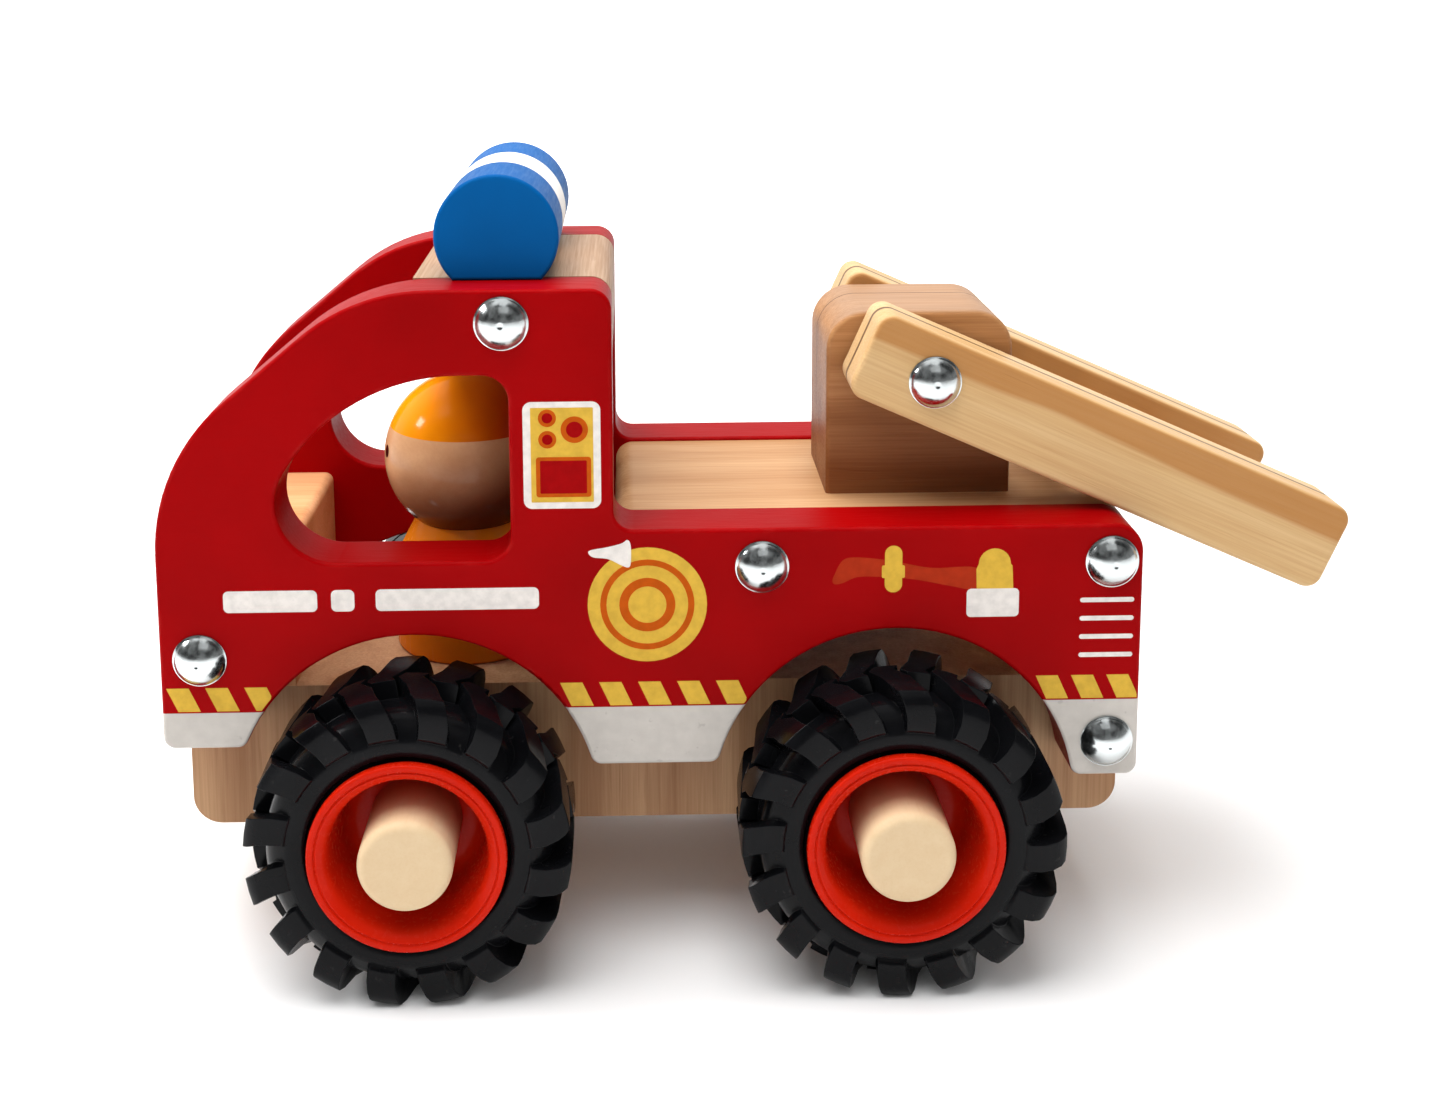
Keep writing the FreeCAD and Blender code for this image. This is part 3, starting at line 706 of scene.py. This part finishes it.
def lug_columns(across, radius):
    """Places along one lug pitch (in turns of the pitch) with the height share of each lug there."""
    full = LUG_WIDE / (radius * LUG_PITCH)
    narrow = min(full, LUG_NARROW)
    lean = min(max(across / LUG_WIDENS_OVER, -1.0), 1.0)
    most = LUGS_TOGETHER - LUG_LEAST
    outer = min(narrow + max(0.0, lean) * (full - narrow), most)
    inner = min(narrow + max(0.0, -lean) * (full - narrow), most)
    if lean > 0:
        inner = min(inner, LUGS_TOGETHER - outer)
    else:
        outer = min(outer, LUGS_TOGETHER - inner)
    wall = LUG_WALL / (radius * LUG_PITCH)
    columns = []
    for middle, wide, outer_height, inner_height in [(0.25, outer, 1.0, 0.0), (0.75, inner, 0.0, 1.0)]:
        half = wide / 2
        for at, share in [(-half, 0.0), (wall - half, 1.0), (0.0, 1.0), (half - wall, 1.0), (half, 0.0)]:
            columns.append((middle + at, share * outer_height, share * inner_height))
    return columns


def tyre_loop(build, row, sign, turn):
    """The vertices once round the tyre along one row."""
    low, high, outer, inner = row
    sweep = LUG_SWEEP * max(0.0, 1 - abs(low[1]) / SWEEP_REACH) if high != low else 0.0
    loop = []
    for lug in range(LUGS):
        for at, outer_share, inner_share in lug_columns(low[1], (low[0] + high[0]) / 2):
            share = max(outer * outer_share, inner * inner_share)
            radius = low[0] + (high[0] - low[0]) * share
            across = low[1] + (high[1] - low[1]) * share
            angle = turn + (lug + at) * LUG_PITCH + sweep
            spot = (radius * math.cos(angle) * MM, sign * across * MM, radius * math.sin(angle) * MM)
            loop.append(build.verts.new(spot))
    return loop


def tyre_mesh(name, sign, turn):
    """A closed lugged tyre about its own Y axis; its outer side faces sign * Y."""
    build = bmesh.new()
    loops = [tyre_loop(build, row, sign, turn) for row in tyre_rows()]
    count = len(loops[0])
    for loop, beyond in zip(loops, loops[1:] + loops[:1]):
        for step in range(count):
            ahead = (step + 1) % count
            build.faces.new((loop[step], loop[ahead], beyond[ahead], beyond[step]))
    return finish_mesh(build, bpy.data.meshes.new(name), 50)


def soften_edges(piece):
    """A narrow round on every sharp edge."""
    bevel = piece.modifiers.new("edges", "BEVEL")
    bevel.width = 0.16 * MM
    bevel.segments = 2
    bevel.limit_method = "ANGLE"
    bevel.angle_limit = math.radians(35)
    bevel.harden_normals = True


tyre_material = tyre_finish()
# How far each tyre is turned, in degrees, so that no two stand alike.
TYRE_TURN = {"front_left": 4, "rear_left": 11, "front_right": 17, "rear_right": 8}
for corner, turn in TYRE_TURN.items():
    name = f"{corner}_lugged_tyre"
    low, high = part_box(f"{corner}_tyre")
    mesh = tyre_mesh(name, side_of(name), math.radians(turn))
    mesh.transform(Matrix.Translation((low + high) / 2))
    tyre = add_piece(name, mesh, tyre_material, wheels_of(corner))
    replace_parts(tyre, f"{corner}_tyre")
    soften_edges(tyre)

# ---------------------------------------------------------------- inks and outlines

def ink(name, color, seed):
    """Screen-printed ink: slightly mottled, a little rougher than the paint below it."""
    finish = Finish(name, specular=0.04)
    mottle = finish.noise(700, detail=4.0, seed=seed)
    screen = finish.noise(1500, detail=2.0, seed=seed + 3)
    deep = darker(color, 0.84)
    tint = finish.mix(finish.span(mottle, 0.35, 0.68), color, deep)
    tint = finish.mix(finish.span(screen, 0.62, 0.72, 0.0, 0.3), tint, deep)
    finish.set(color=tint, rough=finish.span(mottle, 0.3, 0.7, 0.38, 0.5))
    finish.set(normal=finish.bump(screen, 0.02, 0.5))
    return finish.material


INKS = {
    "yellow": ink("yellow_ink", srgb(216, 174, 66), 91),
    "orange": ink("orange_ink", srgb(190, 82, 12), 92),
    "white": ink("white_ink", srgb(232, 225, 219), 93),
    "red": ink("red_ink", RED, 94),
    "brown": ink("brown_ink", srgb(170, 48, 20), 95),
}


def arc(x, z, radius, start=0.0, stop=360.0, steps=48):
    """Points on an arc, counter-clockwise, in degrees."""
    whole = abs(stop - start) >= 360
    count = steps if whole else steps + 1
    turns = [math.radians(start + (stop - start) * n / steps) for n in range(count)]
    return [(x + radius * math.cos(turn), z + radius * math.sin(turn)) for turn in turns]


def rounded(x0, z0, x1, z1, radius):
    """A rectangle with round corners."""
    return (
        arc(x1 - radius, z0 + radius, radius, -90, 0, 8)
        + arc(x1 - radius, z1 - radius, radius, 0, 90, 8)
        + arc(x0 + radius, z1 - radius, radius, 90, 180, 8)
        + arc(x0 + radius, z0 + radius, radius, 180, 270, 8)
    )


def smooth_outline(points, steps=6):
    """A closed Catmull-Rom curve through a few points."""
    result = []
    count = len(points)
    for index in range(count):
        a, b, c, d = (Vector(points[(index + step) % count]) for step in (-1, 0, 1, 2))
        linear, square, cube = c - a, 2 * a - 5 * b + 4 * c - d, 3 * b - a - 3 * c + d
        for step in range(steps):
            t = step / steps
            spot = 0.5 * (2 * b + linear * t + square * t * t + cube * t ** 3)
            result.append((spot.x, spot.y))
    return result


# ---------------------------------------------------------------- printed graphics

# Every patch is (outlines, ink, layer): the first outline is filled, any others are holes in it, and a
# higher layer lies on top of a lower one.
GRAPHICS = []


def draw(ink_name, layer, *outlines):
    """Add one patch."""
    GRAPHICS.append((outlines, ink_name, layer))


def pump_panel():
    """A white-edged yellow panel with a framed red plate and three round gauges."""
    draw("white", 0, rounded(-19.5, 54.9, -7.9, 71.4, 1.3))
    draw("yellow", 1, rounded(-18.35, 55.9, -9.0, 70.5, 0.15))
    plate_outline = rounded(-17.0, 57.25, -10.0, 62.35, 0.2)
    draw("orange", 2, rounded(-17.6, 56.7, -9.35, 62.9, 0.45), plate_outline)
    draw("red", 2, plate_outline)
    gauges = [(-15.85, 68.9, 1.35, 0.8), (-15.85, 65.6, 1.35, 0.8), (-11.8, 67.1, 2.05, 1.25)]
    for x, z, outer, inner in gauges:
        draw("orange", 2, arc(x, z, outer, steps=32), arc(x, z, inner, steps=32))
        draw("red", 2, arc(x, z, inner, steps=32))


def hose_reel():
    """A round yellow reel with two orange rings and a white nozzle."""
    x, z = -1.1, 39.6
    draw("yellow", 0, arc(x, z, 9.05))
    draw("orange", 1, arc(x, z, 7.15), arc(x, z, 6.2))
    draw("orange", 1, arc(x, z, 4.25), arc(x, z, 2.9))
    nozzle = [
        (-9.95, 47.9), (-9.5, 48.35), (-7.2, 48.75), (-5.0, 49.3), (-4.05, 49.85), (-3.55, 49.0),
        (-3.55, 46.4), (-3.9, 45.55), (-5.0, 45.9), (-7.0, 46.9), (-9.2, 47.2),
    ]
    draw("white", 2, smooth_outline(nozzle))


def axe():
    """A brown-handled axe in a yellow clip, with a yellow head and a white holder."""
    handle = [
        (27.0, 42.9), (27.3, 43.9), (28.6, 46.2), (31.0, 46.6), (36.0, 46.0), (42.0, 44.8), (48.9, 44.7),
        (48.9, 41.4), (45.0, 41.9), (39.5, 43.0), (34.0, 43.5), (30.8, 43.5), (28.6, 42.6), (27.4, 42.4),
    ]
    draw("brown", 0, smooth_outline(handle))
    draw("yellow", 1, rounded(34.95, 41.0, 37.6, 48.4, 1.3))
    draw("yellow", 2, rounded(34.5, 43.3, 38.0, 45.3, 0.25))
    head_top = arc(51.7, 45.3, 2.45, 0, 180, 16)
    draw("yellow", 1, [(49.0, 41.4), (54.6, 41.4), (54.4, 45.0)] + head_top + [(48.9, 44.5)])
    draw("white", 1, rounded(47.5, 36.9, 55.5, 41.4, 0.7))


def vents():
    """Four thin white lines at the rear."""
    first, pitch, half = 39.35, 2.93, 0.37
    for number in range(4):
        level = first - pitch * number
        draw("white", 0, rounded(64.9, level - half, 73.2, level + half, 0.36))


def plain_bars():
    """Three plain white bars below the window."""
    for start, stop in [(-65.0, -50.9), (-48.8, -45.3), (-42.1, -17.5)]:
        draw("white", 0, rounded(start, 39.2, stop, 42.6, 0.8))


# Where the panel's flat face ends: the wheel arches and the edge rounding at the nose and the rear.
ARCH_RADIUS = 27.9
ARCH_LEVEL = 7.2
ARCH_MARGIN = 0.45
END_MARGIN = 0.4
arch_middles = [JOINTS[name].x / MM for name in ("front_axle_spin", "rear_axle_spin")]
flat_front, flat_rear = panel_low.x / MM + END_MARGIN, panel_high.x / MM - END_MARGIN


def kept_on_panel(points):
    """Move points that fall in a wheel arch or past the panel's ends back onto its flat face."""
    result = []
    for x, z in points:
        x = min(max(x, flat_front), flat_rear)
        for middle in arch_middles:
            reach = math.sqrt(max(0.0, (ARCH_RADIUS + ARCH_MARGIN) ** 2 - (z - ARCH_LEVEL) ** 2))
            if abs(x - middle) < reach:
                x = middle + math.copysign(reach, x - middle)
        result.append((x, z))
    return result


STRIPE_WIDE, STRIPE_LEAN = 3.4, 1.7
STRIPE_BOTTOM, STRIPE_TOP = 23.55, 27.3
# (start of the first stripe, pitch, number of stripes) of each group
STRIPE_GROUPS = [(-74.2, 5.9, 3), (-14.5, 5.95, 5), (58.4, 5.45, 3)]


def stripe(start, steps=8):
    """One leaning stripe: its top starts at start and its bottom lies further back."""
    rise = [n / steps for n in range(steps + 1)]
    height = STRIPE_TOP - STRIPE_BOTTOM
    left = [(start + STRIPE_LEAN * (1 - up), STRIPE_BOTTOM + height * up) for up in rise]
    right = [(x + STRIPE_WIDE, z) for x, z in left]
    return kept_on_panel(right + left[::-1])


def stripes():
    """Leaning yellow stripes above the skirt."""
    for first, pitch, count in STRIPE_GROUPS:
        for number in range(count):
            draw("yellow", 0, stripe(first + pitch * number))


INK_THICK = 0.02


def print_mesh(outlines, layer, sign):
    """A thin printed patch on the outside of a panel."""
    curve = bpy.data.curves.new("print", "CURVE")
    curve.dimensions = "2D"
    curve.fill_mode = "BOTH"
    curve.extrude = INK_THICK / 2 * MM
    for outline in outlines:
        spline = curve.splines.new("POLY")
        spline.points.add(len(outline) - 1)
        for point, (x, z) in zip(spline.points, outline):
            point.co = (x * MM, z * MM, 0, 1)
        spline.use_cyclic_u = True
    holder = bpy.data.objects.new("print", curve)
    bpy.context.scene.collection.objects.link(holder)
    bpy.context.view_layer.update()
    mesh = bpy.data.meshes.new_from_object(holder.evaluated_get(bpy.context.evaluated_depsgraph_get()))
    bpy.data.objects.remove(holder)
    depth = panel_face + (layer + 0.5) * INK_THICK * MM
    mesh.transform(Matrix(((1, 0, 0, 0), (0, 0, 1, sign * depth), (0, 1, 0, 0), (0, 0, 0, 1))))
    return mesh


pump_panel()
hose_reel()
axe()
vents()
stripes()
plain_bars()
for side, sign in SIDES.items():
    for ink_name, ink_material in INKS.items():
        build = bmesh.new()
        for outlines, used_ink, layer in GRAPHICS:
            if used_ink == ink_name:
                build.from_mesh(print_mesh(outlines, layer, sign))
        name = f"{side}_{ink_name}_print"
        add_piece(name, finish_mesh(build, bpy.data.meshes.new(name)), ink_material, "body")

# ---------------------------------------------------------------- studio

def floor(level, reach=12.0):
    """Pale paper that brightens into the backdrop away from the object."""
    finish = Finish("floor_paper", specular=0.2)
    tone = finish.noise(12, detail=2.0, seed=101)
    finish.set(color=finish.mix(tone, (0.93, 0.93, 0.93, 1), (0.9, 0.9, 0.9, 1)), rough=0.7)
    away = finish.add("ShaderNodeVectorMath", {0: finish.place}, operation="LENGTH").outputs["Value"]
    glow = finish.span(away, 0.16, 0.75)
    rays = finish.add("ShaderNodeLightPath").outputs
    mirrored_glow = finish.calc("MULTIPLY", rays["Is Glossy Ray"], 0.2)
    seen = finish.calc("MAXIMUM", rays["Is Camera Ray"], mirrored_glow)
    finish.set(glow_color=(1, 1, 1, 1), glow=finish.calc("MULTIPLY", glow, seen))
    mesh = bpy.data.meshes.new("floor")
    corners = [(-1, -1), (1, -1), (1, 1), (-1, 1)]
    mesh.from_pydata([(x * reach, y * reach, level) for x, y in corners], [], [(0, 1, 2, 3)])
    mesh.materials.append(finish.material)
    plane = bpy.data.objects.new("floor", mesh)
    bpy.context.scene.collection.objects.link(plane)


AMBIENT_LOW, AMBIENT_HIGH = 0.2, 0.75


def sky():
    """A white studio; what is glossy sees a darker room in front, below a bright ceiling."""
    world = bpy.data.worlds.new("studio")
    world.use_nodes = True
    nodes = Nodes(world.node_tree)
    toward = nodes.add("ShaderNodeTexCoord").outputs["Generated"]
    rise = nodes.axis("Z", toward)
    blobs = nodes.add("ShaderNodeTexNoise", {"Vector": toward, "Scale": 3.2, "Detail": 5.0}).outputs["Fac"]
    streaks = nodes.span(blobs, 0.40, 0.62, 0.01, 0.22)
    uneven = nodes.calc("ADD", rise, nodes.span(blobs, 0.3, 0.7, -0.10, 0.10))
    ceiling = nodes.span(uneven, 0.86, 0.96)
    behind = nodes.span(nodes.axis("Y", toward), 0.05, 0.4)
    bright = nodes.calc("MULTIPLY", nodes.calc("MAXIMUM", ceiling, behind), 0.9)
    room = nodes.calc("ADD", streaks, bright)
    rays = nodes.add("ShaderNodeLightPath").outputs
    ambient = nodes.span(rise, 0.0, 0.8, AMBIENT_LOW, AMBIENT_HIGH)
    soft = nodes.calc("MAXIMUM", ambient, rays["Is Camera Ray"])
    glossy = rays["Is Glossy Ray"]
    plain = nodes.calc("MULTIPLY", soft, nodes.calc("SUBTRACT", 1.0, glossy))
    strength = nodes.calc("ADD", plain, nodes.calc("MULTIPLY", glossy, room))
    ground = world.node_tree.nodes["Background"]
    nodes.feed(ground.inputs["Strength"], strength)
    nodes.feed(ground.inputs["Color"], (1.0, 1.0, 1.0, 1))
    bpy.context.scene.world = world


def lamp(name, place, target, size, power):
    """A white area lamp aimed at a target."""
    light = bpy.data.lights.new(name, "AREA")
    light.shape = "RECTANGLE"
    light.size, light.size_y = size
    light.energy = power
    holder = bpy.data.objects.new(name, light)
    holder.location = place
    holder.rotation_mode = "QUATERNION"
    holder.rotation_quaternion = (Vector(target) - Vector(place)).to_track_quat("-Z", "Y")
    bpy.context.scene.collection.objects.link(holder)
    return holder


model_low, model_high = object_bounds()
middle = (model_low + model_high) / 2
floor(model_low.z)
sky()
overhead = lamp("overhead", (-0.12, 0.0, 0.68), middle, (0.8, 0.6), 8.2)
overhead.visible_glossy = False
lamp("key", (-0.70, -0.04, 0.50), middle, (0.13, 0.13), 1.9)
lamp("front_fill", (0.10, -0.62, 0.80), middle, (0.6, 0.4), 0.4)

# ---------------------------------------------------------------- camera

# The lens keeps its whole shift this near to its stand, and has none from the second distance on.
SHIFT_HELD, SHIFT_GONE = 0.015, 0.03


def shift_here(holder, stand, path, shift):
    """Give the lens its shift only where the camera stands now; seen from anywhere else it has none."""
    curve = holder.data.driver_add(path)
    while curve.modifiers:
        curve.modifiers.remove(curve.modifiers[0])
    while curve.keyframe_points:
        curve.keyframe_points.remove(curve.keyframe_points[0])
    curve.driver.type = "AVERAGE"
    away = curve.driver.variables.new()
    away.type = "LOC_DIFF"
    away.targets[0].id = holder
    away.targets[1].id = stand
    for distance, value in ((0.0, shift), (SHIFT_HELD, shift), (SHIFT_GONE, 0.0)):
        curve.keyframe_points.insert(distance, value).interpolation = "LINEAR"


def camera():
    """The viewing angle: from the left side and a little above, with a lens shift."""
    yaw, pitch, roll = 0.0226, 0.1427, -0.0055
    place = Vector((-3.15, -270.07, 137.75)) * MM
    data = bpy.data.cameras.new("view")
    data.sensor_width = 36.0
    data.lens = 41.5034
    data.clip_start, data.clip_end = 0.01, 100
    holder = bpy.data.objects.new("camera", data)
    forward = Vector((math.sin(yaw) * math.cos(pitch), math.cos(yaw) * math.cos(pitch), -math.sin(pitch)))
    side = Vector((math.cos(yaw), -math.sin(yaw), 0))
    up = side.cross(forward)
    right = side * math.cos(roll) + up * math.sin(roll)
    above = up * math.cos(roll) - side * math.sin(roll)
    turn = Matrix((right, above, -forward)).transposed().to_4x4()
    stand = bpy.data.objects.new("camera_stand", None)
    stand.location = place
    bpy.context.scene.collection.objects.link(stand)
    holder.matrix_world = Matrix.Translation(place) @ turn
    bpy.context.scene.collection.objects.link(holder)
    bpy.context.scene.camera = holder
    shift_here(holder, stand, "shift_x", 0.038062)
    shift_here(holder, stand, "shift_y", -0.253772)


camera()
bpy.context.scene.view_settings.view_transform = "Standard"
